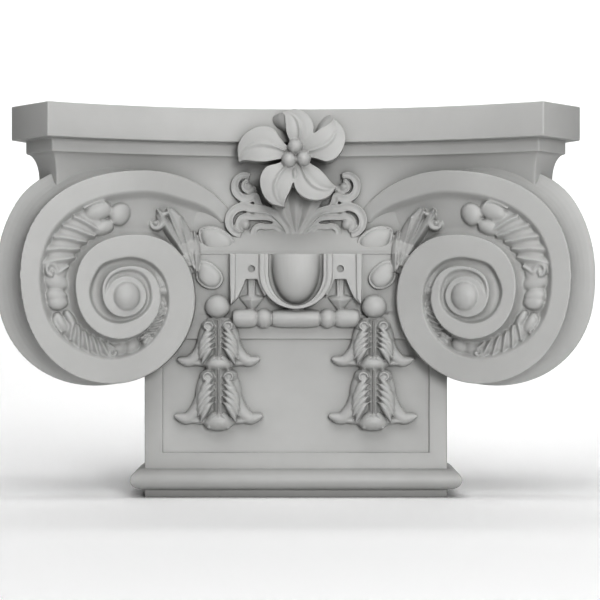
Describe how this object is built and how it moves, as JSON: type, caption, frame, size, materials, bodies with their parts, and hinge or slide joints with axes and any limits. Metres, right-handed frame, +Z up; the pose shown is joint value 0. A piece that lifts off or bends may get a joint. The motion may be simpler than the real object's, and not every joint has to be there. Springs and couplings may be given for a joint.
{
  "type": "ionic pilaster capital",
  "caption": "Ionic pilaster capital with a flat back: concave abacus with a flower, carved spiral volutes, egg-and-dart, husk garlands and a panelled neck over a torus.",
  "frame": {"origin": "middle of the overall length and depth, at the level of the flat underside", "axes": "+X to the viewer's right along the front, +Y from the front into the wall, +Z up"},
  "size_m": [0.6202, 0.146, 0.413],
  "materials": {
    "primed_foam": "matte factory primer"
  },
  "bodies": {
    "root": {"ionic_capital": "primed_foam"}
  },
  "joints": []
}
